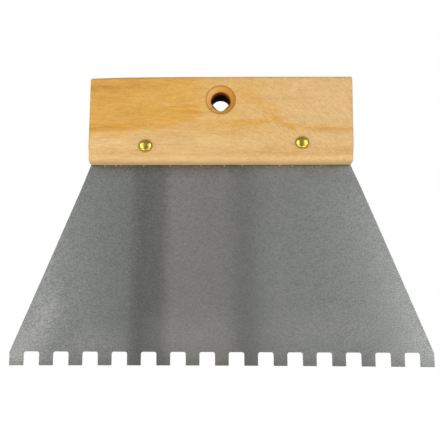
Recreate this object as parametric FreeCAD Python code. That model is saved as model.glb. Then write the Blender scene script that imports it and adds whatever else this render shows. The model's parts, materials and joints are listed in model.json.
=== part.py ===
import FreeCAD, Part
import math
import os

# A notched trowel, held upright with its teeth down. X runs along the handle,
# Y is the thickness with the front at -Y, and Z is up. The origin is on the
# axis of the hang hole, in the middle of the handle's thickness.
# All lengths are in millimetres.

# Handle: one block of wood
handle_length = 160.0
handle_height = 53.5
handle_thickness = 22.0
handle_bottom_radius = 5.0     # long edges on each side of the blade
handle_top_radius = 2.0        # long edges along the top
handle_end_radius = 1.2        # edges around both end faces

# Hang hole, with a countersink on the front and its edge broken on the back
hang_hole_radius = 6.0
hang_hole_below_top = 15.1
countersink_radius = 9.2
countersink_depth = 4.5
back_chamfer = 0.3

# Blade: one flat sheet of steel
blade_width = 250.0            # along the tooth line
blade_drop = 121.1             # from the handle's underside to the tooth tips
blade_insert = 21.0            # hidden inside the handle
blade_thickness = 0.8
blade_end_land = 8.1           # upright edge at each end of the tooth line

# Square notches, cut from the tooth line
notch_width = 9.05
notch_depth = 8.2
notch_corner_radius = 1.2
tooth_width = 8.2

# Rivets: domed head on the front, hollow tail rolled over on the back
rivet_shank_radius = 2.0
rivet_head_radius = 4.05
rivet_head_height = 2.0
rivet_head_rim = 0.4           # straight edge under the dome
rivet_bore_radius = 1.3        # of the hollow tail
rivet_bore_depth = 8.0
rivet_tail_radius = 3.3
rivet_tail_height = 1.2
left_rivet_from_end = 34.7     # from the handle's left end
left_rivet_rise = 9.6          # above the handle's underside
right_rivet_from_end = 31.0    # from the handle's right end
right_rivet_rise = 11.4

# Clearances
kerf_side_gap = 0.15           # between the blade and each wall of the saw kerf
kerf_top_gap = 1.5             # between the blade's hidden edge and the kerf's end
neck_inset = 0.5               # of the blade, inside each end of the handle
rivet_hole_gap = 0.1           # around a shank, in the wood

# Levels and faces worked out from the sizes above
handle_top_z = hang_hole_below_top
handle_bottom_z = handle_top_z - handle_height
front_y = -handle_thickness / 2
back_y = handle_thickness / 2
blade_top_z = handle_bottom_z + blade_insert
tooth_tip_z = handle_bottom_z - blade_drop
land_top_z = tooth_tip_z + blade_end_land
notch_root_z = tooth_tip_z + notch_depth
kerf_width = blade_thickness + 2 * kerf_side_gap
kerf_end_z = blade_top_z + kerf_top_gap
rivets = {
    "left_rivet": (left_rivet_from_end - handle_length / 2, handle_bottom_z + left_rivet_rise),
    "right_rivet": (handle_length / 2 - right_rivet_from_end, handle_bottom_z + right_rivet_rise),
}
through = handle_thickness + 2  # longer than any cut through the handle

along_y = FreeCAD.Vector(0, 1, 0)


def point(x, y, z):
    return FreeCAD.Vector(x, y, z)


def rod(radius, x, z, y_start, length):
    """A round rod along Y."""
    return Part.makeCylinder(radius, length, point(x, y_start, z), along_y)


def edges_along_x(shape, z):
    """The long edges of a block that lie at one height."""
    found = []
    for edge in shape.Edges:
        box = edge.BoundBox
        if box.XLength > handle_length / 2 and abs(box.ZMin - z) < 0.01:
            found.append(edge)
    return found


def edges_round_ends(shape):
    """Every edge that lies in one of the two end faces."""
    found = []
    for edge in shape.Edges:
        box = edge.BoundBox
        if box.XLength < 0.01 and abs(abs(box.XMin) - handle_length / 2) < 0.01:
            found.append(edge)
    return found


def make_handle():
    corner = point(-handle_length / 2, front_y, handle_bottom_z)
    block = Part.makeBox(handle_length, handle_thickness, handle_height, corner)
    block = block.makeFillet(handle_bottom_radius, edges_along_x(block, handle_bottom_z))
    block = block.makeFillet(handle_top_radius, edges_along_x(block, handle_top_z))
    block = block.makeFillet(handle_end_radius, edges_round_ends(block))

    # The saw kerf is open at both ends of the handle.
    kerf_corner = point(-handle_length, -kerf_width / 2, handle_bottom_z - 1)
    kerf_height = kerf_end_z - handle_bottom_z + 1
    kerf = Part.makeBox(2 * handle_length, kerf_width, kerf_height, kerf_corner)

    hang_hole = rod(hang_hole_radius, 0, 0, -through / 2, through)
    countersink = Part.makeCone(
        countersink_radius, hang_hole_radius, countersink_depth,
        point(0, front_y, 0), along_y)
    chamfer = Part.makeCone(
        hang_hole_radius, hang_hole_radius + back_chamfer, back_chamfer,
        point(0, back_y - back_chamfer, 0), along_y)

    cuts = [kerf, hang_hole, countersink, chamfer]
    for x, z in rivets.values():
        cuts.append(rod(rivet_shank_radius + rivet_hole_gap, x, z, -through / 2, through))
    return block.cut(cuts)


def make_notch(x):
    """A cutter for one notch: its root has two rounded corners."""
    overrun = 2
    corner = point(x, -through / 2, tooth_tip_z - overrun)
    cutter = Part.makeBox(notch_width, through, notch_depth + overrun, corner)
    root_corners = []
    for edge in cutter.Edges:
        box = edge.BoundBox
        if box.YLength > through / 2 and abs(box.ZMin - notch_root_z) < 0.01:
            root_corners.append(edge)
    return cutter.makeFillet(notch_corner_radius, root_corners)


def make_blade():
    # Each slanted edge runs straight from the end land up through the neck
    # and on into the kerf.
    half_width = blade_width / 2
    half_neck = handle_length / 2 - neck_inset
    taper = (half_width - half_neck) / (handle_bottom_z - land_top_z)
    half_top = half_neck - taper * blade_insert

    front = -blade_thickness / 2
    right_side = [
        point(half_top, front, blade_top_z),
        point(half_width, front, land_top_z),
        point(half_width, front, tooth_tip_z),
    ]
    left_side = [point(-p.x, p.y, p.z) for p in reversed(right_side)]
    outline = Part.makePolygon(right_side + left_side + right_side[:1])
    sheet = Part.Face(outline).extrude(point(0, blade_thickness, 0))

    # As many notches as leave each end tooth at least as wide as the others.
    pitch = notch_width + tooth_width
    notch_count = math.floor((blade_width - tooth_width) / pitch)
    row_length = notch_count * pitch - tooth_width
    cuts = [make_notch(-row_length / 2 + i * pitch) for i in range(notch_count)]

    # A clinched shank swells, so it fills the sheet's holes.
    for x, z in rivets.values():
        cuts.append(rod(rivet_shank_radius, x, z, -through / 2, through))
    return sheet.cut(cuts)


def make_rivet(x, z):
    """Turned from half a section: out from the rivet's axis and along Y."""
    def at(radius, y):
        return point(x + radius, y, z)

    rim_y = front_y - rivet_head_rim
    crown_y = front_y - rivet_head_height
    dome_height = rivet_head_height - rivet_head_rim
    dome_radius = (rivet_head_radius ** 2 + dome_height ** 2) / (2 * dome_height)
    half_angle = math.asin(rivet_head_radius / dome_radius) / 2
    dome_middle = at(
        dome_radius * math.sin(half_angle),
        crown_y + dome_radius * (1 - math.cos(half_angle)))

    # The tail is rolled outwards: its lip is the arc from bore to edge.
    tail_y = back_y + rivet_tail_height
    lip_radius = (rivet_tail_radius - rivet_bore_radius) / 2
    lip_middle = at(rivet_bore_radius + lip_radius, tail_y)
    lip_start_y = back_y + rivet_tail_height / 3

    shank_start = at(rivet_shank_radius, front_y)
    shank_end = at(rivet_shank_radius, back_y)
    bore_end_y = tail_y - rivet_bore_depth
    edges = [
        Part.LineSegment(at(0, bore_end_y), at(0, crown_y)),
        Part.Arc(at(0, crown_y), dome_middle, at(rivet_head_radius, rim_y)),
        Part.LineSegment(at(rivet_head_radius, rim_y), at(rivet_head_radius, front_y)),
        Part.LineSegment(at(rivet_head_radius, front_y), shank_start),
        Part.LineSegment(shank_start, shank_end),
        Part.LineSegment(shank_end, at(rivet_tail_radius, back_y)),
        Part.LineSegment(at(rivet_tail_radius, back_y), at(rivet_tail_radius, lip_start_y)),
        Part.Arc(
            at(rivet_tail_radius, lip_start_y), lip_middle,
            at(rivet_bore_radius, lip_start_y)),
        Part.LineSegment(at(rivet_bore_radius, lip_start_y), at(rivet_bore_radius, bore_end_y)),
        Part.LineSegment(at(rivet_bore_radius, bore_end_y), at(0, bore_end_y)),
    ]
    section = Part.Face(Part.Wire([edge.toShape() for edge in edges]))
    return section.revolve(point(x, 0, z), along_y, 360)


def main():
    nodes = {
        "wooden_handle": make_handle(),
        "toothed_blade": make_blade(),
    }
    for name, (x, z) in rivets.items():
        nodes[name] = make_rivet(x, z)

    os.makedirs("parts", exist_ok=True)
    for name, shape in nodes.items():
        shape = shape.removeSplitter()
        box = shape.BoundBox
        print(name, "valid" if shape.isValid() else "NOT VALID", len(shape.Solids), "solid",
              round(shape.Volume), "mm3", [round(n, 2) for n in (
                  box.XMin, box.XMax, box.YMin, box.YMax, box.ZMin, box.ZMax)])
        shape.exportStep("parts/" + name + ".step")


main()
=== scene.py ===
# %% [markdown]
# # A notched trowel
#
# This lesson gives a notched trowel its final shape and finish: a block handle
# of pale hardwood, a toothed blade of rolled steel and two brass rivets that
# hold them together. The sizes come from a measured model of the tool, which is
# loaded first and stays fixed. Each piece is then modelled again beside its
# measured twin, with the softened edges, wavy sheet and tool marks that a
# measured model leaves out.

# %% Load the measured model
import json
import math
import bmesh
import bpy
from mathutils import Matrix, Vector


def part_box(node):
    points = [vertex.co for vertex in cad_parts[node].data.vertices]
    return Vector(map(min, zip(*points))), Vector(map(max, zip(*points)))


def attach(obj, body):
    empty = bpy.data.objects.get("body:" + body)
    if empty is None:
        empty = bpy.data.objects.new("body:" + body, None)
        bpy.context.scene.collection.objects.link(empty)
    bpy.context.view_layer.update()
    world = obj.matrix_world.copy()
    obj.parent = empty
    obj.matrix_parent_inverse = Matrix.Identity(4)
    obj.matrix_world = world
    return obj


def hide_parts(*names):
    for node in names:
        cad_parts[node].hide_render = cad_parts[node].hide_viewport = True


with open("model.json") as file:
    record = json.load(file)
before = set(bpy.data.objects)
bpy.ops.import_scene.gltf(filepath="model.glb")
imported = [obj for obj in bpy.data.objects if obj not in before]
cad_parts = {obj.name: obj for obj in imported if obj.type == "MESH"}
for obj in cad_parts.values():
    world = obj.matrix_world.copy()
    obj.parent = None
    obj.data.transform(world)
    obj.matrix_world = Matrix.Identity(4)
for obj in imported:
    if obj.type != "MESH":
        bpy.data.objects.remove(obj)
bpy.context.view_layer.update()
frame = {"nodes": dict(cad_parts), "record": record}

mm = 0.001
print("nodes:", sorted(frame["nodes"]))

# %% [markdown]
# ## Sizes
#
# The tool hangs upright: X runs along the handle, Y goes from the front of the
# tool to its back, and Z is up. The middle of the hang hole is at zero. The
# corners of each measured piece give the large sizes, and the record of the
# tool gives the hang hole and the gaps between the teeth.

# %% Read the sizes from the frame
handle_low, handle_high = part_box("wooden_handle")
blade_low, blade_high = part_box("toothed_blade")
front_y, back_y = handle_low.y, handle_high.y
handle_end = handle_high.x
handle_bottom, handle_top = handle_low.z, handle_high.z
blade_end = blade_high.x
tooth_tip = blade_low.z

record = frame["record"]
hang_hole = next(mount for mount in record["mounts"] if mount["name"] == "hang_hole")
hole_radius = hang_hole["dims"]["r_mm"] * mm
gap_boxes = [opening["box_m"] for opening in record["physics"]["openings"]]
gap_middles = [(low[0] + high[0]) / 2 for low, high in gap_boxes]
print("handle, mm:", [round(side / mm, 1) for side in handle_high - handle_low])
print("blade, mm:", [round(side / mm, 1) for side in blade_high - blade_low])
print("gaps between the teeth:", len(gap_middles))

# %% [markdown]
# ## Helpers for modelling
#
# Blender's modelling tools act on whatever is selected, so each helper starts
# by deselecting everything. Faces and edges are then picked by a test on their
# place, as a person would click them.

# %% Helpers: select and round
def work_on(piece):
    """Makes one piece the only selected one, in object mode."""
    if bpy.context.mode != "OBJECT":
        bpy.ops.object.mode_set(mode="OBJECT")
    bpy.ops.object.select_all(action="DESELECT")
    if piece:
        piece.select_set(True)
        bpy.context.view_layer.objects.active = piece


def pick(piece, kind, test):
    """Goes into edit mode with only the edges or faces that pass a test selected."""
    work_on(piece)
    bpy.ops.object.mode_set(mode="EDIT")
    bpy.ops.mesh.select_mode(type=kind)
    bpy.ops.mesh.select_all(action="DESELECT")
    shape = bmesh.from_edit_mesh(piece.data)
    picked = [part for part in (shape.edges if kind == "EDGE" else shape.faces) if test(part)]
    for part in picked:
        part.select_set(True)
    bmesh.update_edit_mesh(piece.data)
    return len(picked)


def ends(edge):
    return edge.verts[0].co, edge.verts[1].co


def bevel(piece, test, radius, segments):
    """Rounds the edges that pass a test."""
    count = pick(piece, "EDGE", test)
    bpy.ops.mesh.bevel(offset=radius, segments=segments, affect="EDGES", clamp_overlap=False)
    bpy.ops.object.mode_set(mode="OBJECT")
    print(piece.name, "has", count, "edges rounded by", round(radius / mm, 2), "mm")


# %% [markdown]
# Blocks, sheets and cutters start as a cube. Round things are turned: a disc is
# extruded ring by ring along its axis, and each ring is scaled to its radius. A
# finished shape has its place in its mesh, so its object stays at zero, unturned
# and unscaled.

# %% Helpers: start a shape
def start_box(name, low, high):
    """A cube primitive that fills a box."""
    work_on(None)
    middle = (Vector(low) + Vector(high)) / 2
    bpy.ops.mesh.primitive_cube_add(size=1, location=middle)
    piece = bpy.context.object
    piece.name = name
    piece.scale = Vector(high) - Vector(low)
    bpy.ops.object.transform_apply(location=True, rotation=True, scale=True)
    return piece


def turn(name, x, z, rings, sides):
    """A turned shape on an axis along Y. Each ring is (radius, y)."""
    work_on(None)
    radius, y = rings[0]
    bpy.ops.mesh.primitive_circle_add(
        vertices=sides, radius=radius, fill_type="NGON",
        location=(x, y, z), rotation=(math.radians(90), 0, 0))
    piece = bpy.context.object
    piece.name = name
    bpy.ops.object.transform_apply(location=True, rotation=True, scale=True)
    bpy.ops.object.mode_set(mode="EDIT")
    bpy.ops.mesh.select_mode(type="FACE")
    bpy.ops.mesh.select_all(action="SELECT")
    for next_radius, next_y in rings[1:]:
        bpy.ops.mesh.extrude_region_move(TRANSFORM_OT_translate={"value": (0, next_y - y, 0)})
        grow = next_radius / radius
        bpy.ops.transform.resize(value=(grow, 1, grow), center_override=(x, next_y, z))
        radius, y = next_radius, next_y
    bpy.ops.mesh.select_all(action="SELECT")
    bpy.ops.mesh.normals_make_consistent(inside=False)
    bpy.ops.object.mode_set(mode="OBJECT")
    return piece


# %% [markdown]
# A Boolean modifier takes one shape out of another or adds it on, as a tool
# would. Modifiers are baked in at once, because the next step needs real points
# to pick. A bisect by parallel planes gives a flat face the points that it needs
# to bend.

# %% Helpers: cut and finish
same_place = 0.002 * mm


def bake_in(piece, modifier):
    """Applies a modifier, so that its effect becomes part of the mesh."""
    work_on(piece)
    bpy.ops.object.modifier_apply(modifier=modifier.name)


def cut(piece, cutter, operation="DIFFERENCE"):
    """Takes a cutter's shape out of a piece, or adds it, and throws the cutter away."""
    tool = piece.modifiers.new("cut", "BOOLEAN")
    tool.operation = operation
    tool.solver = "EXACT"
    tool.object = cutter
    bake_in(piece, tool)
    bpy.data.objects.remove(cutter)


def slice_up(piece, axis, step):
    """Cuts a piece's faces by parallel planes, so that it has points to bend."""
    low = min(vertex.co[axis] for vertex in piece.data.vertices)
    high = max(vertex.co[axis] for vertex in piece.data.vertices)
    normal = [0, 0, 0]
    normal[axis] = 1
    count = int((high - low) / step)
    for i in range(1, count):
        place = [0, 0, 0]
        place[axis] = low + (high - low) * i / count
        pick(piece, "FACE", lambda face: True)
        bpy.ops.mesh.bisect(plane_co=place, plane_no=normal)
    bpy.ops.object.mode_set(mode="OBJECT")


def finish_shape(piece, sharp_degrees):
    """Merges doubles, smooths the shading below an angle and prints what was made."""
    pick(piece, "FACE", lambda face: True)
    bpy.ops.mesh.remove_doubles(threshold=same_place)
    bpy.ops.object.mode_set(mode="OBJECT")
    bpy.ops.object.shade_smooth_by_angle(angle=math.radians(sharp_degrees))
    piece.data.calc_loop_triangles()
    print(piece.name, "has", len(piece.data.loop_triangles), "triangles")


# %% [markdown]
# ## The handle
#
# The handle is one block of hardwood. Its long lower edges are rounded to suit
# the fingers, and the other edges are only sanded. An outline could be drawn and
# extruded, but a cube is the simpler start, because the bevel tool rounds a
# block's edges just as a router does. The lower long edges come first, then the
# upper ones, and last the outlines of both end faces.

# %% Block with rounded edges
handle_bottom_round = 5.0 * mm
handle_top_round = 2.0 * mm
handle_end_round = 1.2 * mm
touch = 0.01 * mm

handle = start_box("handle_block", handle_low, handle_high)


def long_edge_at(level):
    def test(edge):
        a, b = ends(edge)
        return abs(a.z - level) < touch and abs(b.z - level) < touch and abs(a.x - b.x) > handle_end
    return test


def on_end_outline(edge):
    a, b = ends(edge)
    return abs(abs(a.x) - handle_end) < touch and abs(a.x - b.x) < touch


bevel(handle, long_edge_at(handle_bottom), handle_bottom_round, segments=10)
bevel(handle, long_edge_at(handle_top), handle_top_round, segments=6)
bevel(handle, on_end_outline, handle_end_round, segments=4)

# %% [markdown]
# A sanded block is never quite flat. The block is sliced into a fine grid, and
# a Displace modifier then moves its points by up to a tenth of a millimetre,
# nearly all of it inwards, as a soft cloud pattern says. Sculpting by hand would
# do the same, but not twice alike.

# %% Grid and hand-sanded unevenness
sanding_depth = 0.12 * mm
sanding_reach = 22 * mm
grid_steps = (3.2 * mm, 3.0 * mm, 3.2 * mm)

for axis, step in enumerate(grid_steps):
    slice_up(handle, axis, step)

clouds = bpy.data.textures.new("sanding", "CLOUDS")
clouds.noise_scale = sanding_reach
clouds.noise_depth = 1
sanding = handle.modifiers.new("sanding", "DISPLACE")
sanding.texture = clouds
sanding.texture_coords = "GLOBAL"
sanding.strength = sanding_depth
sanding.mid_level = 0.8
bake_in(handle, sanding)
print("sanded block has", len(handle.data.polygons), "faces")

# %% [markdown]
# The block was cut and sanded by hand. Its ends are half a degree out of square
# and sit a third of a millimetre to the right of the hang hole's middle. The
# left end of the top edge is sanded down by a millimetre, which fades out along
# the edge, and the lower ends are blunted a little. All are small moves of the
# points.

# %% Ends out of square, corner sanded down
out_of_square = 0.0095
off_middle = 0.33 * mm
corner_loss = 1.15 * mm
corner_fade = 24 * mm
corner_depth = 12 * mm
blunting = 0.4 * mm
blunting_height = 9 * mm
end_sharpness = 15  # how closely the blunting keeps to the ends; an odd power

handle_middle = (handle_bottom + handle_top) / 2
for vertex in handle.data.vertices:
    x, y, z = vertex.co
    near_top = max(0.0, 1 - (handle_top - z) / corner_depth)
    loss = corner_loss * math.exp(-(x + handle_end) / corner_fade)
    from_bottom = min((z - handle_bottom) / blunting_height, 1.0)
    near_end = (x / handle_end) ** end_sharpness
    blunted = blunting * math.sin(math.pi * max(from_bottom, 0.0)) ** 2 * near_end
    vertex.co.x = x + off_middle + out_of_square * (z - handle_middle) - blunted
    vertex.co.z = z - loss * near_top ** 2
print("ends out of square by", round(math.degrees(out_of_square), 2), "degrees")

# %% [markdown]
# A saw kerf runs along the underside and takes the blade. Its cutter is a thin
# box that is extruded once more below the block and widened there, so that the
# lips of the kerf come out slightly opened, as a saw leaves them. Cutting with
# the shape of the blade itself would leave no room between wood and steel.

# %% Saw kerf
kerf_gap = 0.15 * mm
kerf_spare = 1.5 * mm
kerf_lip = 0.35 * mm
kerf_half = blade_high.y + kerf_gap

kerf = start_box(
    "kerf_cutter",
    (-handle_end - mm, -kerf_half, handle_bottom + kerf_lip),
    (handle_end + mm, kerf_half, blade_high.z + kerf_spare))
pick(kerf, "FACE", lambda face: face.normal.z < -0.9)
bpy.ops.mesh.extrude_region_move(TRANSFORM_OT_translate={"value": (0, 0, -2 * kerf_lip)})
bpy.ops.transform.resize(value=(1, 1 + 2 * kerf_lip / kerf_half, 1))
cut(handle, kerf)
print("kerf, mm:", round(2 * kerf_half / mm, 2), "wide")

# %% [markdown]
# The hang hole was drilled from the front with a deep countersink. A cylinder
# and a cone could cut it, but one cutter, turned like a chess piece, gives both
# and softens their edges: where the countersink meets the face its rings flare
# out a little. The drill also left two lips of fibre at the lower left and right
# of the bore's mouth, so that ring isn't quite round: its points there are moved
# inwards.

# %% Hang hole
sink_radius = 9.2 * mm
sink_depth = 4.5 * mm
back_chamfer = 0.3 * mm
rim_round = 0.3 * mm
outside = 1.0 * mm
mouth_y = front_y + sink_depth

hole_rings = [
    (sink_radius + 2 * rim_round, front_y - outside),
    (sink_radius + rim_round, front_y),
    (sink_radius + 0.25 * rim_round, front_y + 0.3 * rim_round),
    (sink_radius - 0.2 * rim_round, front_y + rim_round),
    (hole_radius + rim_round, mouth_y - rim_round),
    (hole_radius + 0.1 * rim_round, mouth_y),
    (hole_radius, mouth_y + rim_round),
    (hole_radius, mouth_y + 2 * mm),
    (hole_radius, back_y - back_chamfer),
    (hole_radius + back_chamfer, back_y),
    (hole_radius + back_chamfer + outside, back_y + outside),
]
hole_cutter = turn("hole_cutter", 0, 0, hole_rings, sides=96)

lip_height = 0.95 * mm
lip_spread = 96  # degrees either side of straight down
for vertex in hole_cutter.data.vertices:
    at_mouth = abs(vertex.co.y - mouth_y) < 1.5 * rim_round
    from_below = abs(math.degrees(math.atan2(vertex.co.x, -vertex.co.z)))
    if at_mouth and from_below < lip_spread:
        inwards = 1 - lip_height / hole_radius * math.sin(math.pi * from_below / lip_spread) ** 2
        vertex.co.x *= inwards
        vertex.co.z *= inwards
cut(handle, hole_cutter)
print("hang hole, mm:", round(2 * hole_radius / mm, 1), "across")

# %% [markdown]
# The drill left one more mark: a torn fibre across the lower left of the
# countersink. A narrow box, turned to point at the middle of the hole, cuts it,
# so that the groove has real depth and catches the light.

# %% Torn fibre in the countersink
tear_angle = math.radians(222)
tear_width = 0.45 * mm
tear_start = hole_radius - 0.2 * mm
tear_end = sink_radius + 0.5 * mm
tear_depth = 0.3 * mm

tear = start_box(
    "tear_cutter",
    (tear_start, front_y - outside, -tear_width / 2),
    (tear_end, front_y + tear_depth, tear_width / 2))
pick(tear, "FACE", lambda face: face.normal.x < -0.9)
bpy.ops.transform.translate(value=(0, sink_depth, 0))
bpy.ops.object.mode_set(mode="OBJECT")
tear.data.transform(Matrix.Rotation(-tear_angle, 4, "Y"))
cut(handle, tear)
print("groove, mm:", round((tear_end - tear_start) / mm, 1), "long")

# %% [markdown]
# Each rivet has a hole through the wood. Setting the rivet also pressed a
# shallow dish into the wood around its head and its tail, which shows as a thin
# shadow line. The dish could be pressed in with a falloff, but a turned cutter
# makes the hole and both dishes at once.

# %% Rivet holes and dishes
rivet_names = ("left_rivet", "right_rivet")
rivet_gap = 0.1 * mm
shank_radius = 2.0 * mm
tail_radius = 3.3 * mm
dish_depth = 0.09 * mm
dish_margin = 0.2 * mm


def rivet_axis(name):
    low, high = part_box(name)
    return (low.x + high.x) / 2, (low.z + high.z) / 2


head_low, head_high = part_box(rivet_names[0])
head_radius = (head_high.x - head_low.x) / 2

for name in rivet_names:
    x, z = rivet_axis(name)
    dish_rings = [
        (head_radius + dish_margin + outside / 2, front_y - outside),
        (head_radius + dish_margin, front_y - 0.1 * dish_depth),
        (head_radius, front_y + dish_depth),
        (shank_radius + rivet_gap, front_y + 1.2 * dish_depth),
        (shank_radius + rivet_gap, back_y - 1.2 * dish_depth),
        (tail_radius, back_y - dish_depth),
        (tail_radius + dish_margin, back_y + 0.1 * dish_depth),
        (tail_radius + dish_margin + outside / 2, back_y + outside),
    ]
    cut(handle, turn(name + "_cutter", x, z, dish_rings, sides=48))
print("rivet heads, mm:", round(2 * head_radius / mm, 1), "across")

# %% [markdown]
# The saw also tore out a few fibres, which hang from the front lip of the kerf.
# Hair particles could do it, but each of these is a stiff splinter: a thin
# five-sided cone that points down and leans a little. They are joined to each
# other, and a union makes them one skin with the handle.

# %% Torn fibres at the kerf
fibre_places = (-71, -64, -61, -47, -31, -12, 2, 13, 36, 44, 61)
fibre_length = 1.7 * mm
fibre_radius = 0.42 * mm
fibre_lean = 25  # degrees at most
fibre_y = -kerf_half - 1.6 * kerf_lip
fibre_z = handle_bottom - 0.15 * fibre_length

torn_fibres = []
for i, x in enumerate(fibre_places):
    work_on(None)
    lean_by = math.radians(fibre_lean * math.sin(5 * i))
    bpy.ops.mesh.primitive_cone_add(
        vertices=5, radius1=fibre_radius, radius2=0.1 * fibre_radius, depth=fibre_length,
        location=(x * mm, fibre_y, fibre_z), rotation=(math.pi, lean_by, 0))
    torn_fibres.append(bpy.context.object)
for torn in torn_fibres:
    torn.select_set(True)
bpy.ops.object.join()
bpy.ops.object.transform_apply(location=True, rotation=True, scale=True)
cut(handle, bpy.context.object, "UNION")
print("torn fibres:", len(fibre_places))

finish_shape(handle, sharp_degrees=35)
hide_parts("wooden_handle")
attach(handle, "root")

# %% [markdown]
# ## The blade
#
# The blade is one sheet of steel, 0.8 mm thick. It could be an outline given
# thickness by Solidify. It starts as a thin box instead, because two bisect cuts
# take off its slanted ends as shears do: each runs straight from the top of the
# small upright land at the corner, past the end of the handle and on into the
# kerf.

# %% Sheet with slanted ends
land_height = 8.1 * mm
neck_inset = 0.5 * mm

blade = start_box("blade_sheet", blade_low, blade_high)
land_top = tooth_tip + land_height
run_in = blade_end - (handle_end - neck_inset)
rise = handle_bottom - land_top
for side in (-1, 1):
    pick(blade, "FACE", lambda face: True)
    bpy.ops.mesh.bisect(
        plane_co=(side * blade_end, 0, land_top), plane_no=(side * rise, 0, run_in),
        use_fill=True, clear_outer=True)
bpy.ops.object.mode_set(mode="OBJECT")
print("each end slants by", round(math.degrees(math.atan2(run_in, rise)), 1), "degrees")

# %% [markdown]
# The square gaps were stamped out by one punch, moved along by the same step.
# So one cutter is modelled, with its upper corners rounded as a worn punch has
# them and its mouth a hair wider, and an Array modifier repeats it.

# %% Gaps between the teeth
gap_width = 9.05 * mm
gap_depth = 8.2 * mm
gap_corner = 1.2 * mm
gap_flare = 1.01
gap_step = gap_middles[1] - gap_middles[0]

punch = start_box(
    "punch",
    (gap_middles[0] - gap_width / 2, -mm, tooth_tip - mm),
    (gap_middles[0] + gap_width / 2, mm, tooth_tip + gap_depth))


def along_gap_corner(edge):
    a, b = ends(edge)
    return min(a.z, b.z) > tooth_tip and abs(a.y - b.y) > mm


bevel(punch, along_gap_corner, gap_corner, segments=8)
pick(punch, "FACE", lambda face: face.normal.z < -0.9)
bpy.ops.transform.resize(value=(gap_flare, 1, 1))
work_on(punch)
row = punch.modifiers.new("row", "ARRAY")
row.count = len(gap_middles)
row.use_relative_offset = False
row.use_constant_offset = True
row.constant_offset_displace = (gap_step, 0, 0)
bake_in(punch, row)
cut(blade, punch)

for name in rivet_names:
    x, z = rivet_axis(name)
    shank_rings = [(shank_radius, -mm), (shank_radius, mm)]
    cut(blade, turn("shank_cutter", x, z, shank_rings, sides=32))
print("stamped sheet has", len(blade.data.polygons), "faces")

# %% [markdown]
# Cut steel has a sharp edge for a day and a blunt one ever after. Every edge
# around the outline gets a very small bevel, which also catches the light.

# %% Blunted edges
blunt = 0.05 * mm


def around_outline(edge):
    """True where a broad face of the sheet meets its cut edge."""
    if len(edge.link_faces) != 2:
        return False
    across = abs(edge.link_faces[0].normal.y) + abs(edge.link_faces[1].normal.y)
    return 0.9 < across < 1.1


bevel(blade, around_outline, blunt, segments=2)

# %% [markdown]
# A thin sheet that has spread a lot of adhesive is a little wavy. The sheet is
# sliced into a grid, and its points are moved forwards or back by a few tenths
# of a millimetre. A formula does it, because it moves both faces alike and fades
# out towards the handle, which holds the sheet flat. The tooth line was also
# stamped a third of a degree out of line with the handle, lower at the right,
# and use has worn the middle teeth shorter. The sheet sits a hair to the right,
# too, but its rivet holes stay where they are.

# %% Wavy sheet
wave_height = 0.22 * mm
wave_length = 78 * mm
wave_slant = 0.3
bow_height = 0.3 * mm
bow_level = 0.5
out_of_line = 0.0060
tooth_wear = 0.35 * mm
blade_shift = 0.4 * mm
shift_fade = 8  # the shift is full an eighth of the way down
sheet_step = 4 * mm

for axis in (0, 2):
    slice_up(blade, axis, sheet_step)
drop = handle_bottom - tooth_tip
for vertex in blade.data.vertices:
    x, y, z = vertex.co
    free = max(0.0, (handle_bottom - z) / drop)
    wave = math.sin(2 * math.pi * (x + wave_slant * z) / wave_length)
    bow = math.cos(math.pi * x / (2 * blade_end)) - bow_level
    vertex.co.y = y + free * (wave_height * wave + bow_height * bow)
    worn = tooth_wear * (1 - (x / blade_end) ** 2) if z < tooth_tip + 2 * blunt else 0.0
    vertex.co.x = x + blade_shift * min(shift_fade * free, 1.0)
    vertex.co.z = z - free * out_of_line * x + worn

finish_shape(blade, sharp_degrees=12)
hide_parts("toothed_blade")
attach(blade, "root")

# %% [markdown]
# ## The rivets
#
# Each rivet is brass, with a domed head on the front. Its shank is hollow at
# the far end, and that end is rolled over on the back of the handle. The turned
# helper makes the whole rivet in one go, from the bottom of the hollow, over
# the rolled lip, down the shank and up over the head. The dome is a quarter of
# an ellipse, flat in the middle and steep at the rim. Spinning a half section
# would give the same shape, but rings are easier to read and to change.

# %% Rings of one rivet
bore_radius = 1.3 * mm
bore_depth = 8.0 * mm
lip_rings = 10
dome_rings = 14
rim_height = 0.3 * mm

# Shares of a radius or a height
bore_foot = 0.6    # at the bottom of the hollow
bore_wall = 0.96   # of the hollow's depth, with a straight wall
lip_share = 0.75   # of the tail's height, rolled over
tail_tuck = 0.96   # where the tail meets the wood
head_tuck = 0.97   # where the head meets the wood
crown_flat = 0.03  # the flat spot on top of the dome


def rivet_rings(name):
    low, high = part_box(name)
    crown_y, tail_y = low.y, high.y
    rings = [
        (bore_radius * bore_foot, tail_y - bore_depth),
        (bore_radius, tail_y - bore_depth * bore_wall)]
    lip = (tail_radius - bore_radius) / 2
    lip_rise = (tail_y - back_y) * lip_share
    for i in range(lip_rings + 1):
        angle = math.pi * i / lip_rings
        rings.append((
            bore_radius + lip * (1 - math.cos(angle)),
            tail_y - lip_rise * (1 - math.sin(angle))))
    rings.append((tail_radius * tail_tuck, back_y - 0.5 * dish_depth))
    rings.append((shank_radius, back_y - dish_depth))
    rings.append((shank_radius, front_y + dish_depth))
    rings.append((head_radius * head_tuck, front_y + 0.5 * dish_depth))
    dome_rise = front_y - rim_height - crown_y
    for i in range(dome_rings + 1):
        angle = math.pi / 2 * i / (dome_rings + 1)
        rings.append((
            head_radius * math.cos(angle),
            front_y - rim_height - dome_rise * math.sin(angle)))
    rings.append((head_radius * crown_flat, crown_y))
    return rings


print("rings in a rivet:", len(rivet_rings(rivet_names[0])))

# %% [markdown]
# A hammer set each head, which left it a little oval and dented. The head's
# faces are scaled, and a Displace modifier that acts on the head alone dents it.

# %% Rivets
dents = bpy.data.textures.new("hammer dents", "CLOUDS")
dents.noise_scale = 1.9 * mm
dent_depth = 0.16 * mm
head_squash = (0.97, 1, 0.86)

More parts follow.
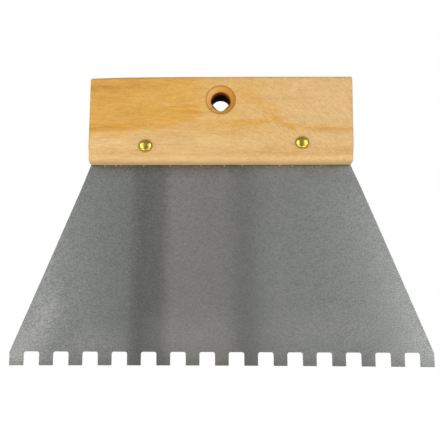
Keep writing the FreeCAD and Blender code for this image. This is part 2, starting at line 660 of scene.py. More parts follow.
rivets = []
for name in rivet_names:
    x, z = rivet_axis(name)
    rivet = turn(name + "_brass", x, z, rivet_rings(name), sides=64)
    pick(rivet, "FACE", lambda face: face.calc_center_median().y < front_y)
    bpy.ops.transform.resize(value=head_squash, center_override=(x, front_y, z))
    bpy.ops.object.mode_set(mode="OBJECT")
    dome = [vertex.index for vertex in rivet.data.vertices if vertex.co.y < front_y - rim_height]
    rivet.vertex_groups.new(name="head").add(dome, 1.0, "ADD")
    hammering = rivet.modifiers.new("hammering", "DISPLACE")
    hammering.texture = dents
    hammering.texture_coords = "GLOBAL"
    hammering.vertex_group = "head"
    hammering.strength = dent_depth
    hammering.mid_level = 0.9
    bake_in(rivet, hammering)
    finish_shape(rivet, sharp_degrees=40)
    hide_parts(name)
    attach(rivet, "root")
    rivets.append(rivet)

# %% [markdown]
# ## Helpers for materials
#
# A material is a graph of nodes. It could be wired by hand in the shader editor.
# In a script a few small helpers keep it short: one adds a node and feeds its
# inputs, one does a step of arithmetic, and one lays a tone over a colour
# through a mask. Colours are given as they look on a screen, from 0 to 255, and
# are turned into the linear values that Blender works with.

# %% Helpers: colours and nodes
def screen_colour(red, green, blue):
    """A linear colour from its values on a screen."""
    def linear(value):
        value = value / 255
        return value / 12.92 if value <= 0.04045 else ((value + 0.055) / 1.055) ** 2.4
    return (linear(red), linear(green), linear(blue), 1.0)


def add_node(tree, kind, inputs, **settings):
    """Adds a node. Each input is a plain value or the output of another node."""
    made = tree.nodes.new(kind)
    for name, value in settings.items():
        setattr(made, name, value)
    for name, value in inputs.items():
        if isinstance(value, bpy.types.NodeSocket):
            tree.links.new(value, made.inputs[name])
        else:
            made.inputs[name].default_value = value
    return made


def maths(tree, operation, first, second=0.0, third=0.0):
    step = add_node(tree, "ShaderNodeMath", {0: first, 1: second, 2: third}, operation=operation)
    return step.outputs[0]


def vectors(tree, operation, first, second=(0, 0, 0)):
    step = add_node(tree, "ShaderNodeVectorMath", {0: first, 1: second}, operation=operation)
    return step.outputs["Value" if operation in ("DOT_PRODUCT", "LENGTH", "DISTANCE") else "Vector"]


def split_axes(tree, vector):
    return add_node(tree, "ShaderNodeSeparateXYZ", {0: vector}).outputs


def join_axes(tree, x, y, z):
    return add_node(tree, "ShaderNodeCombineXYZ", {"X": x, "Y": y, "Z": z}).outputs[0]


print("the middle grey of a screen is", round(screen_colour(128, 128, 128)[0], 3), "as a linear value")

# %% [markdown]
# Masks run from 0 to 1. A soft change between two values, a patch of cloudy
# noise and a change of range make most of them, and a mask then says where one
# tone covers another.

# %% Helpers: masks and tones
def smooth_step(tree, value, start, end):
    """0 at start and 1 at end, with a soft change between."""
    step = add_node(
        tree, "ShaderNodeMapRange",
        {"Value": value, "From Min": start, "From Max": end},
        interpolation_type="SMOOTHSTEP")
    return step.outputs["Result"]


def between(tree, mask, low, high):
    """A value that is low where the mask is 0 and high where it is 1."""
    return add_node(tree, "ShaderNodeMapRange", {"Value": mask, "To Min": low, "To Max": high}).outputs[0]


def noise(tree, place, scale, detail):
    """Cloudy noise from 0 to 1. A larger scale makes it finer."""
    return add_node(
        tree, "ShaderNodeTexNoise", {"Vector": place, "Scale": scale, "Detail": detail}).outputs[0]


def mix_colours(tree, amount, first, second, blend="MIX"):
    step = add_node(
        tree, "ShaderNodeMix", {0: amount, 6: first, 7: second}, data_type="RGBA", blend_type=blend)
    return step.outputs[2]


def lay_over(tree, colour, mask, strength, tone):
    """Covers a colour with a tone where the mask is 1, to the given strength."""
    return mix_colours(tree, maths(tree, "MULTIPLY", mask, strength), colour, tone)


# %% [markdown]
# A node group packs an effect into one node. A new material starts with
# Blender's Principled shader, and its patterns follow each point's place in the
# piece, so they stay on the piece wherever it goes.

# %% Helpers: groups and materials
def new_group(name, inputs, outputs):
    """An empty node group. Inputs are (name, kind, value) and outputs (name, kind)."""
    group = bpy.data.node_groups.new(name, "ShaderNodeTree")
    for socket, kind, value in inputs:
        made = group.interface.new_socket(socket, in_out="INPUT", socket_type=kind)
        made.default_value = value
    for socket, kind in outputs:
        group.interface.new_socket(socket, in_out="OUTPUT", socket_type=kind)
    entry = group.nodes.new("NodeGroupInput")
    leave = group.nodes.new("NodeGroupOutput")
    return group, entry.outputs, leave.inputs


def use_group(tree, group, inputs):
    return add_node(tree, "ShaderNodeGroup", inputs, node_tree=group).outputs


def new_material(name):
    """A material with a Principled shader, and the place of each point of the piece."""
    material = bpy.data.materials.new(name)
    material.use_nodes = True
    tree = material.node_tree
    shader = tree.nodes["Principled BSDF"]
    place = tree.nodes.new("ShaderNodeTexCoord").outputs["Object"]
    return material, tree, shader, place


def wire_surface(tree, shader, colour, roughness):
    tree.links.new(colour, shader.inputs["Base Color"])
    tree.links.new(roughness, shader.inputs["Roughness"])


def wire_relief(tree, shader, height, strength, depth):
    """Lets a pattern catch the light as if it stood up by a small depth."""
    relief = add_node(tree, "ShaderNodeBump", {"Height": height, "Strength": strength, "Distance": depth})
    tree.links.new(relief.outputs[0], shader.inputs["Normal"])


def cover(piece, material):
    piece.data.materials.clear()
    piece.data.materials.append(material)


# %% [markdown]
# ## Effects that several finishes share
#
# *Drawn grain* is noise that is stretched along X: wood fibres and rolling
# marks both run that way. A painted picture could be wrapped on instead, but
# noise never repeats and has no seams.

# %% Group: drawn grain
FLOAT, VECTOR = "NodeSocketFloat", "NodeSocketVector"

drawn_grain, given, result = new_group(
    "drawn_grain",
    [("Place", VECTOR, (0, 0, 0)), ("Along", FLOAT, 60.0), ("Across", FLOAT, 900.0),
     ("Turn", FLOAT, 0.0), ("Shift", FLOAT, 0.0)],
    [("Tone", FLOAT)])
turned = add_node(
    drawn_grain, "ShaderNodeVectorRotate",
    {"Vector": given["Place"], "Angle": given["Turn"]}, rotation_type="Y_AXIS").outputs[0]
stretch = join_axes(drawn_grain, given["Along"], given["Across"], given["Across"])
shift = join_axes(drawn_grain, given["Shift"], given["Shift"], given["Shift"])
drawn_out = vectors(drawn_grain, "ADD", vectors(drawn_grain, "MULTIPLY", turned, stretch), shift)
drawn_noise = add_node(
    drawn_grain, "ShaderNodeTexNoise",
    {"Vector": drawn_out, "Scale": 1.0, "Detail": 4.0, "Roughness": 0.6}).outputs[0]
drawn_grain.links.new(drawn_noise, result["Tone"])


def grain(tree, place, along, across, shift=0.0, turn=0.0):
    """Drawn grain on a piece. Larger numbers along and across make it finer."""
    return use_group(tree, drawn_grain, {
        "Place": place, "Along": along, "Across": across, "Turn": turn, "Shift": shift})["Tone"]


print("drawn grain has", len(drawn_grain.nodes), "nodes")

# %% [markdown]
# *Soft streak* is a mask around a line between two points, for a streak in the
# wood or a band of tone in the steel. It measures how far each point is from the
# line, as a painter's brush would reach, and its edge can be made ragged.

# %% Group: soft streak
soft_streak, given, result = new_group(
    "soft_streak",
    [("Place", VECTOR, (0, 0, 0)), ("Start", VECTOR, (0, 0, 0)), ("End", VECTOR, (1, 0, 0)),
     ("Half Width", FLOAT, 0.002), ("Softness", FLOAT, 0.002), ("Ragged", FLOAT, 0.0)],
    [("Mask", FLOAT)])
ragged_reach = 4.0  # how many times the softness a ragged edge can wander

along = vectors(soft_streak, "SUBTRACT", given["End"], given["Start"])
reach = vectors(soft_streak, "SUBTRACT", given["Place"], given["Start"])
share = maths(
    soft_streak, "DIVIDE",
    vectors(soft_streak, "DOT_PRODUCT", reach, along),
    vectors(soft_streak, "DOT_PRODUCT", along, along))
share = add_node(soft_streak, "ShaderNodeClamp", {"Value": share}).outputs[0]
spread = add_node(
    soft_streak, "ShaderNodeVectorMath", {0: along, "Scale": share}, operation="SCALE").outputs[0]
wander = maths(soft_streak, "MULTIPLY", given["Ragged"], ragged_reach)
distance = maths(
    soft_streak, "ADD", vectors(soft_streak, "DISTANCE", reach, spread),
    maths(soft_streak, "MULTIPLY", wander, given["Softness"]))
outer = maths(soft_streak, "ADD", given["Half Width"], given["Softness"])
inner = maths(soft_streak, "SUBTRACT", given["Half Width"], given["Softness"])
soft_streak.links.new(smooth_step(soft_streak, distance, outer, inner), result["Mask"])


def streak(tree, place, start, end, half_width, softness, ragged):
    """A soft streak on a face, from start to end. Both are (x, z), and all is in millimetres."""
    return use_group(tree, soft_streak, {
        "Place": place, "Start": (start[0] * mm, 0, start[1] * mm),
        "End": (end[0] * mm, 0, end[1] * mm), "Half Width": half_width * mm,
        "Softness": softness * mm, "Ragged": ragged})["Mask"]


print("soft streak has", len(soft_streak.nodes), "nodes")

# %% [markdown]
# *Edge wear and shade* is a mask that is full at a distance of zero and fades out over its reach,
# patchily, as dirt and wear do. It serves for the worn edge of the blade, and for painted shade along the
# kerf, around the rivet heads and at the rims of the brass heads.

# %% Group: edge wear and shade
wear_and_shade_group, given, result = new_group(
    "wear_and_shade_group",
    [("Place", VECTOR, (0, 0, 0)), ("Distance", FLOAT, 0.0), ("Reach", FLOAT, 0.001),
     ("Raggedness", FLOAT, 0.5), ("Patch Scale", FLOAT, 400.0)],
    [("Mask", FLOAT)])
patches = maths(wear_and_shade_group, "SUBTRACT", noise(wear_and_shade_group, given["Place"], given["Patch Scale"], 3.0), 0.5)
wander = maths(
    wear_and_shade_group, "MULTIPLY", maths(wear_and_shade_group, "MULTIPLY", patches, given["Raggedness"]), given["Reach"])
distance = maths(
    wear_and_shade_group, "ADD", given["Distance"], maths(wear_and_shade_group, "MULTIPLY", wander, ragged_reach))
wear_and_shade_group.links.new(smooth_step(wear_and_shade_group, distance, given["Reach"], 0.0), result["Mask"])


def patchy_wear_and_shade(tree, place, distance, reach, raggedness, patch_scale):
    """A patchy edge mask on a piece, for wear and for painted shade."""
    return use_group(tree, wear_and_shade_group, {
        "Place": place, "Distance": distance, "Reach": reach, "Raggedness": raggedness,
        "Patch Scale": patch_scale})["Mask"]


print("worn edge has", len(wear_and_shade_group.nodes), "nodes")

# %% [markdown]
# ## Wood
#
# The handle is a fine, pale hardwood. Its figure is mostly a matter of soft
# zones: a golden heart zone at the left, pale sapwood elsewhere, and a few
# golden streaks that lead on from the heart. The fibres show as very fine lines
# over it all.
#
# The figure belongs to the block, so it is laid out in the block's own
# millimetres, and the zones lean through the thickness, so that the back isn't
# a copy of the front. A slow noise bends every zone a little, and a feathery
# one frays its edges along the grain.

# %% Wood: place in the block, bent by slow noise
lean = 0.30
drift_height = 4 * mm
drift_length = 16 * mm
feather_height = 5 * mm

wood, tree, shader, place = new_material("pale_hardwood")
apart = split_axes(tree, place)
drift = maths(tree, "SUBTRACT", grain(tree, place, along=26.0, across=70.0, shift=3.0), 0.5)
ragged = maths(tree, "SUBTRACT", grain(tree, place, along=90.0, across=800.0, shift=11.0), 0.5)
leaning = maths(tree, "MULTIPLY_ADD", maths(tree, "SUBTRACT", apart["Y"], front_y), lean, apart["Z"])
drifting = maths(tree, "MULTIPLY_ADD", drift, drift_height, leaning)
bent_z = maths(tree, "MULTIPLY_ADD", ragged, feather_height, drifting)
bent_x = maths(tree, "MULTIPLY_ADD", drift, drift_length, apart["X"])
bent = join_axes(tree, bent_x, 0.0, bent_z)
print("the zones lean back by", round(lean * (back_y - front_y) / mm, 1), "mm through the block")

# %% [markdown]
# The heart zone is bounded below by an edge that steps up near the left rivet
# and then slopes up to the middle, and on the right by a ragged fade.

# %% Wood: heart zone
heart_floor = -19.6 * mm
heart_step_up = 2.6 * mm
heart_slope_up = 5.5 * mm
heart_step = (-54 * mm, -44 * mm)
heart_slope = (-44 * mm, 0.0)
heart_softness = 1.6 * mm
heart_fade = 23 * mm
heart_ragged = 60 * mm
heart_strength = 0.86

stepped = smooth_step(tree, apart["X"], *heart_step)
sloped = smooth_step(tree, apart["X"], *heart_slope)
heart_edge = maths(
    tree, "MULTIPLY_ADD", sloped, heart_slope_up,
    maths(tree, "MULTIPLY_ADD", stepped, heart_step_up, heart_floor))
above = smooth_step(
    tree, maths(tree, "SUBTRACT", bent_z, heart_edge), -heart_softness, heart_softness)
leftward = smooth_step(
    tree, maths(tree, "MULTIPLY_ADD", ragged, heart_ragged, bent_x), 0.0, -heart_fade)
heart = maths(tree, "MULTIPLY", maths(tree, "MULTIPLY", above, leftward), heart_strength)
print("the heart zone's edge rises by", round((heart_step_up + heart_slope_up) / mm, 1), "mm")

# %% [markdown]
# Each streak is laid between two places on the face, as a painter would lay a
# stroke. A list holds its start and end, half its width, how soft its edge is
# and how strong it is. Where strokes of one tone overlap, the strongest counts.

# %% Wood: streaks
def lay(strokes):
    """Soft strokes on the face. Each is (start, end, half width, softness, strength)."""
    masks = [
        maths(tree, "MULTIPLY", streak(tree, bent, start, end, half_width, softness, ragged), strength)
        for start, end, half_width, softness, strength in strokes]
    strongest = masks[0]
    for mask in masks[1:]:
        strongest = maths(tree, "MAXIMUM", strongest, mask)
    return strongest


gold = maths(tree, "MAXIMUM", heart, lay([
    ((-14, -14.5), (8, -15), 2.4, 2.6, 0.42),
    ((8, -15.2), (28, -14), 2.4, 2.8, 0.7),
    ((33.5, -10), (43.5, -18.5), 2.4, 3.0, 0.74),
    ((17, 6), (33, -9), 3.0, 4.0, 0.5),
    ((45, -18), (84, -18.6), 1.4, 2.0, 0.55),
    ((-84, -22.8), (-58, -22.5), 1.4, 3.0, 0.45),
]))
deep = lay([
    ((-84, -17.8), (-57, -17.5), 1.6, 1.8, 0.85),
    ((-57, -17.3), (-42, -15.8), 0.9, 3.4, 0.6),
    ((-28, -6.6), (-14, -7.6), 2.0, 2.6, 0.85),
    ((-84, 1), (-66, 1), 3.0, 3.5, 0.35),
    ((36, -12.5), (43, -18), 1.2, 2.2, 0.38),
    ((12, -14.5), (25, -14.5), 0.8, 2.0, 0.3),
    ((-60, -8), (-30, -9), 1.4, 2.6, 0.4),
    ((-56, 6), (-30, 5), 1.6, 3.0, 0.3),
])
brown = lay([
    ((-84, 7.6), (-62, 7.8), 1.8, 2.4, 0.8),
    ((-62, 8.4), (-32, 9.6), 1.4, 2.6, 0.5),
    ((-84, 14.6), (-40, 15.4), 1.3, 1.8, 0.75),
    ((-40, 15.4), (-12, 15.6), 0.6, 1.6, 0.35),
    ((50, -18.8), (84, -19), 0.6, 1.6, 0.4),
    # The next five strokes, from z -30 to -35 mm, are painted shade along the band where the face starts
    # to round over below.
    ((30, -30.5), (84, -30), 1.2, 2.4, 0.3),
    ((16, -34.6), (84, -34.2), 2.0, 2.4, 0.38),
    ((-84, -35), (16, -35), 1.2, 2.2, 0.2),
    ((14, -33.8), (84, -31.8), 0.3, 0.8, 0.66),
    ((-68, -31), (-48, -32), 1.0, 2.2, 0.25),
    ((10, -20), (12, -30), 4.0, 5.0, 0.14),
    ((79.5, 3), (80, -6), 0.6, 1.8, 0.45),
    ((48, 5), (51, -4), 1.5, 4.0, 0.16),
])
pale = lay([
    ((-14, -11.6), (24, -11.4), 0.3, 0.8, 0.4),
    ((-42, 2), (-28, -3), 1.0, 5.0, 0.22),
    ((-84, -29), (-50, -28.5), 3.0, 4.0, 0.7),
    ((-12, -28), (16, -28.5), 2.0, 4.0, 0.5),
])
print("zones and streaks take", len(tree.nodes), "nodes")

# %% [markdown]
# The tones mix by those masks, from the widest to the finest. The rounded lower edge is painted paler: a
# painted highlight where it faces the lamps below.

# %% Wood: colour
middle_wood = screen_colour(211, 173, 110)
pale_wood = screen_colour(211, 178, 125)
golden_wood = screen_colour(208, 161, 78)
deep_wood = screen_colour(200, 148, 60)
brown_wood = screen_colour(185, 134, 68)
light_wood = screen_colour(224, 190, 135)
sapwood_right = (5 * mm, 55 * mm)
sapwood_below = (-18 * mm, -26 * mm)
painted_highlight_band = (handle_bottom + 4.5 * mm, handle_bottom + 1.5 * mm)

right_side = smooth_step(tree, apart["X"], *sapwood_right)
low_down = maths(tree, "MULTIPLY", smooth_step(tree, bent_z, *sapwood_below), 0.8)
rounding_highlight = smooth_step(tree, apart["Z"], *painted_highlight_band)

colour = mix_colours(tree, maths(tree, "MAXIMUM", right_side, low_down), middle_wood, pale_wood)
colour = mix_colours(tree, gold, colour, golden_wood)
colour = mix_colours(tree, pale, colour, light_wood)
colour = mix_colours(tree, deep, colour, deep_wood)
colour = mix_colours(tree, brown, colour, brown_wood)
# Painted highlight: the light tone is laid over the rounded lower edge.
colour = lay_over(tree, colour, rounding_highlight, strength=0.5, tone=light_wood)
print("the rounded edge pales below, mm:", round(painted_highlight_band[0] / mm, 1))

# %% [markdown]
# The fibres darken the colour by up to a quarter. In the right half of this
# block they dip away from the face, so the fine lines there slope down to the
# right. Short flecks and slow clouds keep the surface from looking combed.

# %% Wood: fibres
fibre_shade = 0.24
fleck_shade = 0.16
cloud_shade = 0.10
fibre_slope = math.radians(-37)
fibre_tint = screen_colour(190, 156, 120)

straight = grain(tree, place, along=130.0, across=1200.0)
sloping = grain(tree, place, along=240.0, across=1000.0, shift=7.0, turn=fibre_slope)
right_half = smooth_step(tree, apart["X"], -20 * mm, 25 * mm)
fibres = add_node(tree, "ShaderNodeMix", {0: right_half, 2: straight, 3: sloping}).outputs[0]
flecks = grain(tree, place, along=900.0, across=1500.0, shift=23.0)
clouding = grain(tree, place, along=45.0, across=220.0, shift=17.0)

shading = maths(tree, "MULTIPLY", smooth_step(tree, fibres, 0.3, 0.7), fibre_shade)
for pattern, share in ((flecks, fleck_shade), (clouding, cloud_shade)):
    shading = maths(tree, "MULTIPLY_ADD", smooth_step(tree, pattern, 0.35, 0.65), share, shading)
darker = mix_colours(tree, 1.0, colour, fibre_tint, "MULTIPLY")
colour = mix_colours(tree, shading, colour, darker)
print("fibres and flecks mix in up to", fibre_shade + fleck_shade + cloud_shade, "of a darker tone")

# %% [markdown]
# The two end faces show end grain: growth rings as wide arcs, darker than the
# side of the board because cut-off fibres soak up the light. The rings are a
# sine of the distance from the heart of the tree, which lies below the block.

# %% Wood: end grain
ring_width = 2.6 * mm
ring_wobble = 11.0
pith = (0.0, 38 * mm, -84 * mm)
early_wood = screen_colour(192, 152, 96)
late_wood = screen_colour(176, 133, 77)
pore_wood = screen_colour(118, 80, 42)

from_pith = vectors(tree, "DISTANCE", join_axes(tree, 0.0, apart["Y"], apart["Z"]), pith)
turns = maths(
    tree, "MULTIPLY_ADD", noise(tree, place, scale=70.0, detail=3.0), ring_wobble,
    maths(tree, "MULTIPLY", from_pith, 2 * math.pi / ring_width))
rings = maths(tree, "MULTIPLY_ADD", maths(tree, "SINE", turns), 0.5, 0.5)
pores = smooth_step(tree, noise(tree, place, scale=2600.0, detail=2.0), 0.55, 0.7)
end_colour = mix_colours(tree, rings, early_wood, late_wood)
end_colour = lay_over(tree, end_colour, pores, strength=0.5, tone=pore_wood)

facing = add_node(tree, "ShaderNodeNewGeometry", {}).outputs["Normal"]
sideways = maths(tree, "ABSOLUTE", split_axes(tree, facing)["X"])
colour = mix_colours(tree, smooth_step(tree, sideways, 0.55, 0.95), colour, end_colour)
print("growth rings across the block:", round((back_y - front_y) / ring_width, 1))

# %% [markdown]
# The countersink has an orange tone, with painted light at its left and painted shade at its right, and a
# thin line of painted shadow along its rim. The bore is painted almost black with shade, and browner near
# its two mouths.

# %% Wood: the hang hole's tone and painted shade
lit_sink_tone = screen_colour(218, 170, 100)
shaded_sink_tone = screen_colour(189, 132, 44)
sink_rim_shadow = screen_colour(164, 106, 38)
bore_mouth_shade = screen_colour(166, 88, 24)
bore_shade_black = screen_colour(2, 1, 0)
rim_radius = sink_radius - 0.3 * mm
bore_shade_start = (mouth_y - mm, mouth_y + 8 * mm)
bore_shade_end = (back_y - 0.3 * mm, back_y - 1.6 * mm)

face_place = join_axes(tree, apart["X"], 0.0, apart["Z"])
from_hole = vectors(tree, "LENGTH", face_place)
at_front = smooth_step(tree, apart["Y"], 2 * mm, -2 * mm)
inside_sink = smooth_step(tree, from_hole, sink_radius + 0.1 * mm, rim_radius)
# Painted light and shade: the countersink's tone is lighter at its left and darker at its right.
shade_towards_right = smooth_step(tree, apart["X"], -sink_radius, sink_radius)
sink_tone_lit_and_shaded = mix_colours(tree, shade_towards_right, lit_sink_tone, shaded_sink_tone)
in_sink = maths(tree, "MULTIPLY", inside_sink, at_front)
colour = lay_over(tree, colour, in_sink, strength=0.9, tone=sink_tone_lit_and_shaded)

# Painted shadow: a thin dark line along the countersink's rim.
from_rim = maths(tree, "ABSOLUTE", maths(tree, "SUBTRACT", from_hole, rim_radius))
on_rim = maths(tree, "MULTIPLY", smooth_step(tree, from_rim, 0.6 * mm, 0.1 * mm), at_front)
colour = lay_over(tree, colour, on_rim, strength=0.68, tone=sink_rim_shadow)

# Painted shade: the bore is browner near its two mouths and almost black deeper in.
in_bore = smooth_step(tree, from_hole, hole_radius + 0.45 * mm, hole_radius + 0.1 * mm)
past_mouth = smooth_step(tree, apart["Y"], *bore_shade_start)
before_back = smooth_step(tree, apart["Y"], *bore_shade_end)
deep_inside = maths(tree, "MULTIPLY", past_mouth, before_back)
colour = mix_colours(tree, in_bore, colour, mix_colours(tree, deep_inside, bore_mouth_shade, bore_shade_black))
print("the bore is scorched over", round((back_y - mouth_y) / mm, 1), "mm")

# %% [markdown]
# Painted shade darkens the wood along the kerf's lips and in a thin ring around each rivet head. The torn
# fibres that hang below the block are clean new wood.

# %% Wood: painted shade at the kerf and the rivets, torn fibres
kerf_shade_tone = screen_colour(96, 66, 34)
rivet_ring_shade = screen_colour(128, 92, 34)
torn_wood = screen_colour(250, 236, 206)

# Painted shade: the underside is darkened patchily beside the kerf's lips.
from_kerf = maths(tree, "SUBTRACT", maths(tree, "ABSOLUTE", apart["Y"]), kerf_half)
kerf_shade = patchy_wear_and_shade(tree, place, from_kerf, reach=1.1 * mm, raggedness=0.6, patch_scale=300.0)
low_on_block = smooth_step(tree, apart["Z"], handle_bottom + 1.2 * mm, handle_bottom + 0.4 * mm)
on_block = smooth_step(tree, apart["Z"], handle_bottom - 0.4 * mm, handle_bottom - 0.2 * mm)
underside = maths(tree, "MULTIPLY", low_on_block, on_block)
kerf_shade = maths(tree, "MULTIPLY", kerf_shade, underside)
colour = lay_over(tree, colour, kerf_shade, strength=0.8, tone=kerf_shade_tone)
colour = mix_colours(tree, on_block, torn_wood, colour)
# Painted shade: a thin dark ring on the wood around each rivet head.
for name in rivet_names:
    x, z = rivet_axis(name)
    from_head = maths(
        tree, "SUBTRACT", vectors(tree, "DISTANCE", face_place, (x, 0, z)), head_radius)
    ring = patchy_wear_and_shade(tree, place, from_head, reach=0.5 * mm, raggedness=0.5, patch_scale=700.0)
    colour = lay_over(tree, colour, ring, strength=0.35, tone=rivet_ring_shade)
print("grime lies around", len(rivet_names), "rivets and along the kerf")

# %% [markdown]
# Bare sanded wood is dull, a little less so along some of its fibres, and the bore is quite matt. The
# fibres stand up by a few hundredths of a millimetre: a Bump node shows that without adding points to the
# mesh.

# %% Wood: gloss and relief
rough_wood = maths(tree, "MAXIMUM", between(tree, fibres, low=0.5, high=0.66), in_bore)
wire_surface(tree, shader, colour, rough_wood)
wire_relief(tree, shader, fibres, strength=0.35, depth=0.08 * mm)
shader.inputs["Specular IOR Level"].default_value = 0.12
cover(handle, wood)
print("wood has", len(tree.nodes), "nodes")

# %% [markdown]
# ## Steel
#
# Cold-rolled sheet is neither polished nor painted. It mirrors the room so softly that only broad tones
# are left, and these tones are painted into the colour: upright bands, darker and lighter, are painted
# reflections of the room and the lamps, and a few patches are painted too, darker below the handle and
# lighter near the teeth, where the lamps are mirrored. Real bends could show the bands as reflections,
# but a sheet bent that much would look crooked from the side, so the bands are soft streaks in the
# colour.

# %% Steel: bands and patches
sheet_steel = screen_colour(163, 165, 162)
shaded_steel = screen_colour(149, 151, 148)
warm_steel = screen_colour(168, 166, 162)
dark_steel = screen_colour(121, 121, 118)
light_steel = screen_colour(198, 197, 193)
band_sway = 10 * mm
band_fray = 0.5
band_top, band_foot = -17, -160  # in millimetres, from inside the kerf to below the teeth

steel, tree, shader, place = new_material("rolled_steel")
apart = split_axes(tree, place)
sway = maths(tree, "SUBTRACT", noise(tree, place, scale=14.0, detail=3.0), 0.5)
swayed_x = maths(tree, "MULTIPLY_ADD", sway, band_sway, apart["X"])
sheet_place = join_axes(tree, swayed_x, 0.0, apart["Z"])
fray = maths(tree, "SUBTRACT", grain(tree, place, along=220.0, across=420.0, shift=9.0), 0.5)
fray = maths(tree, "MULTIPLY", fray, band_fray)

# The bands are painted reflections of the room and the lamps.
# Each band is (x, half width, softness, strength, slant, tone).
bands = [
    (-70, 30, 9, 1.0, 0, shaded_steel),
    (-13, 20, 6, 1.0, 0, warm_steel),
    (-41.5, 10, 4.5, 0.64, 0.8, dark_steel),
    (-46, 1.5, 3.5, 0.15, 1.5, dark_steel),
    (13.5, 7, 7, 0.31, 0, dark_steel),
    (34, 3, 6, 0.12, 0, light_steel),
]
# Each patch is (start, end, half width, softness, strength, tone).
patches = [
    ((x + slant, band_top), (x - slant, band_foot), half_width, softness, strength, tone)
    for x, half_width, softness, strength, slant, tone in bands]
# These patches are painted too; the lighter ones near the teeth are painted reflections of the lamps.
patches += [
    ((-78, -40), (14, -40), 2, 6, 0.45, dark_steel),
    ((56, -42), (88, -50), 3, 9, 0.25, dark_steel),
    ((-120, -156), (-102, -126), 4, 9, 0.5, light_steel),
    ((-28, -142), (-6, -142), 8, 18, 0.5, light_steel),
    ((30, -140), (84, -136), 4, 14, 0.26, light_steel),
    ((-84, -146), (-62, -146), 4, 12, 0.25, light_steel),
]
colour = sheet_steel
for start, end, half_width, softness, strength, tone in patches:
    mask = streak(tree, sheet_place, start, end, half_width, softness, fray)
    colour = lay_over(tree, colour, mask, strength, tone)
print("bands and patches on the sheet:", len(patches))

# %% [markdown]
# The rollers print a fine mottle along the sheet, which also varies its gloss.
# Use has dulled the steel near the teeth.

# %% Steel: rolling marks and worn edge
mottle_shade = 0.64
marks_share = 0.85
mottle_tint = screen_colour(150, 150, 150)

marks = grain(tree, place, along=1000.0, across=1600.0)
blotches = grain(tree, place, along=110.0, across=170.0, shift=5.0)
mottle = maths(
    tree, "ADD", maths(tree, "MULTIPLY", marks, marks_share),
    maths(tree, "MULTIPLY", blotches, 1 - marks_share))
mottle = smooth_step(tree, mottle, 0.36, 0.64)
mottled = mix_colours(tree, 1.0, colour, mottle_tint, "MULTIPLY")
colour = lay_over(tree, colour, mottle, mottle_shade, mottled)
above_tips = maths(tree, "SUBTRACT", apart["Z"], tooth_tip)
worn = patchy_wear_and_shade(tree, place, above_tips, reach=7 * mm, raggedness=0.4, patch_scale=200.0)
colour = lay_over(tree, colour, worn, strength=0.45, tone=dark_steel)

wire_surface(tree, shader, colour, between(tree, mottle, low=0.33, high=0.43))
wire_relief(tree, shader, mottle, strength=0.15, depth=0.01 * mm)
shader.inputs["Metallic"].default_value = 1.0
cover(blade, steel)
print("steel has", len(tree.nodes), "nodes")

# %% [markdown]
# ## Brass
#
# The rivet heads are polished brass that has dulled a little in patches: bright where the dome catches a
# lamp, and darker towards the rim, where painted shade and a painted reflection of the wood are laid on.

# %% Brass
bright_brass = screen_colour(218, 194, 94)
dull_brass = screen_colour(182, 156, 58)
brass_rim_shade = screen_colour(112, 84, 24)

brass, tree, shader, place = new_material("polished_brass")
dulled = noise(tree, place, scale=700.0, detail=3.0)
from_face = maths(tree, "SUBTRACT", front_y, split_axes(tree, place)["Y"])
# Painted shade and reflection: the dome is darkened near its rim, where it meets the wood.
rim_shade_and_reflection = patchy_wear_and_shade(tree, place, from_face, reach=0.5 * mm, raggedness=0.5, patch_scale=900.0)
colour = mix_colours(tree, dulled, bright_brass, dull_brass)
colour = lay_over(tree, colour, rim_shade_and_reflection, strength=0.7, tone=brass_rim_shade)
wire_surface(tree, shader, colour, between(tree, dulled, low=0.18, high=0.40))
wire_relief(tree, shader, dulled, strength=0.2, depth=0.02 * mm)
shader.inputs["Metallic"].default_value = 1.0
for rivet in rivets:
    cover(rivet, brass)
print("brass has", len(tree.nodes), "nodes")

# %% [markdown]
# ## Studio
#
# The tool hangs in front of a white surround, a metre above a pale floor, which
# is far enough for its shadow to fade away. Camera rays see floor and surround
# brighter than the light that they give, so that the tool isn't washed out. A
# backdrop could be modelled instead, but this needs no lamp of its own.

# %% Floor
floor_drop = 1000 * mm
floor_side = 60
floor_given, floor_seen = (0.6, 0.6, 0.6, 1.0), (0.85, 0.85, 0.85, 1.0)
glow_given, glow_seen = (0.0, 0.0, 0.0, 1.0), (0.75, 0.75, 0.75, 1.0)

work_on(None)
bpy.ops.mesh.primitive_plane_add(size=floor_side, location=(0, 0, tooth_tip - floor_drop))
floor = bpy.context.object
floor.name = "floor"
bpy.ops.object.transform_apply(location=True, rotation=True, scale=True)
floor_finish, tree, shader, place = new_material("pale_floor")
seen = tree.nodes.new("ShaderNodeLightPath").outputs["Is Camera Ray"]
shown = mix_colours(tree, seen, floor_given, floor_seen)
glow = mix_colours(tree, seen, glow_given, glow_seen)
tree.links.new(shown, shader.inputs["Base Color"])
tree.links.new(glow, shader.inputs["Emission Color"])
shader.inputs["Emission Strength"].default_value = 1.0
shader.inputs["Roughness"].default_value = 0.9
shader.inputs["Specular IOR Level"].default_value = 0.0
cover(floor, floor_finish)
print("floor, mm below the teeth:", round(floor_drop / mm))

# %% [markdown]
# The surround is the world's background: white where the camera sees it, and a
# third as bright as a light.

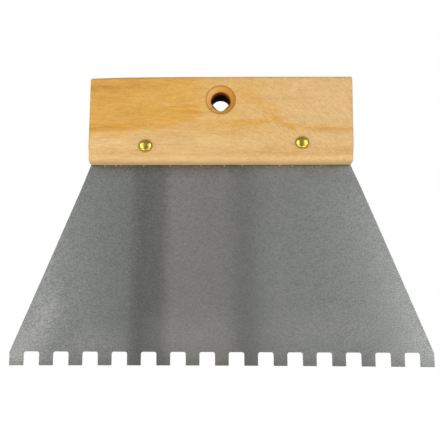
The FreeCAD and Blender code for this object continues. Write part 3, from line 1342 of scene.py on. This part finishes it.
# %% Surround
room_light = 0.33
world = bpy.data.worlds.new("surround")
bpy.context.scene.world = world
world.use_nodes = True
tree = world.node_tree
seen = tree.nodes.new("ShaderNodeLightPath").outputs["Is Camera Ray"]
background = tree.nodes["Background"]
background.inputs["Color"].default_value = (1.0, 1.0, 1.0, 1.0)
strength = between(tree, seen, low=room_light, high=1.0)
tree.links.new(strength, background.inputs["Strength"])
print("light from the room:", room_light)

# %% [markdown]
# Two large soft boxes stand to the left and right of the camera, and two lower
# ones light the underside and the teeth. Two more light the back. Between the
# front pair the room stays dim: that is what the flat blade mirrors.

# %% Soft boxes
def soft_box(name, azimuth, height, distance, width, tall, power):
    """A soft box that faces the tool. Azimuth 0 is in front, 90 at the right."""
    angle = math.radians(azimuth)
    target = Vector((0, 0, (handle_top + tooth_tip) / 2))
    spot = Vector((math.sin(angle) * distance, -math.cos(angle) * distance, height))
    work_on(None)
    bpy.ops.object.light_add(type="AREA", location=spot)
    lamp = bpy.context.object
    lamp.name = name
    lamp.data.shape = "RECTANGLE"
    lamp.data.size = width
    lamp.data.size_y = tall
    lamp.data.energy = power
    lamp.rotation_euler = (target - spot).to_track_quat("-Z", "Y").to_euler()


# Each pair is (azimuth, height, distance, width, tall, power), in metres and watts.
pairs = {
    "front": (46, 0.05, 1.1, 0.95, 1.1, 8.6),
    "low": (55, -0.85, 0.75, 0.9, 0.7, 4.2),
    "back": (132, 0.2, 1.2, 0.9, 1.2, 7.5),
}
for pair, (azimuth, *sizes) in pairs.items():
    soft_box(pair + "_left_box", -azimuth, *sizes)
    soft_box(pair + "_right_box", azimuth, *sizes)
print("soft boxes:", 2 * len(pairs))

# %% [markdown]
# ## Camera
#
# The camera stands half a metre in front of the tool, level with its teeth, and
# looks up by nine and a half degrees. That is close enough for the handle, which
# is further off, to look a little smaller than it is.

# %% Camera
camera_place = Vector((-0.7, -472.5, -152.0)) * mm
camera_slope = math.radians(9.57)
camera_roll = math.radians(0.10)
camera_lens = 64.7
film_width = 36

work_on(None)
bpy.ops.object.camera_add(
    location=camera_place, rotation=(math.radians(90) + camera_slope, camera_roll, 0))
camera = bpy.context.object
camera.data.lens = camera_lens
camera.data.sensor_width = film_width
camera.data.clip_start = 0.01
bpy.context.scene.camera = camera
bpy.context.scene.view_settings.view_transform = "Standard"
print("camera, mm from the handle's face:", round((front_y - camera_place.y) / mm, 1))
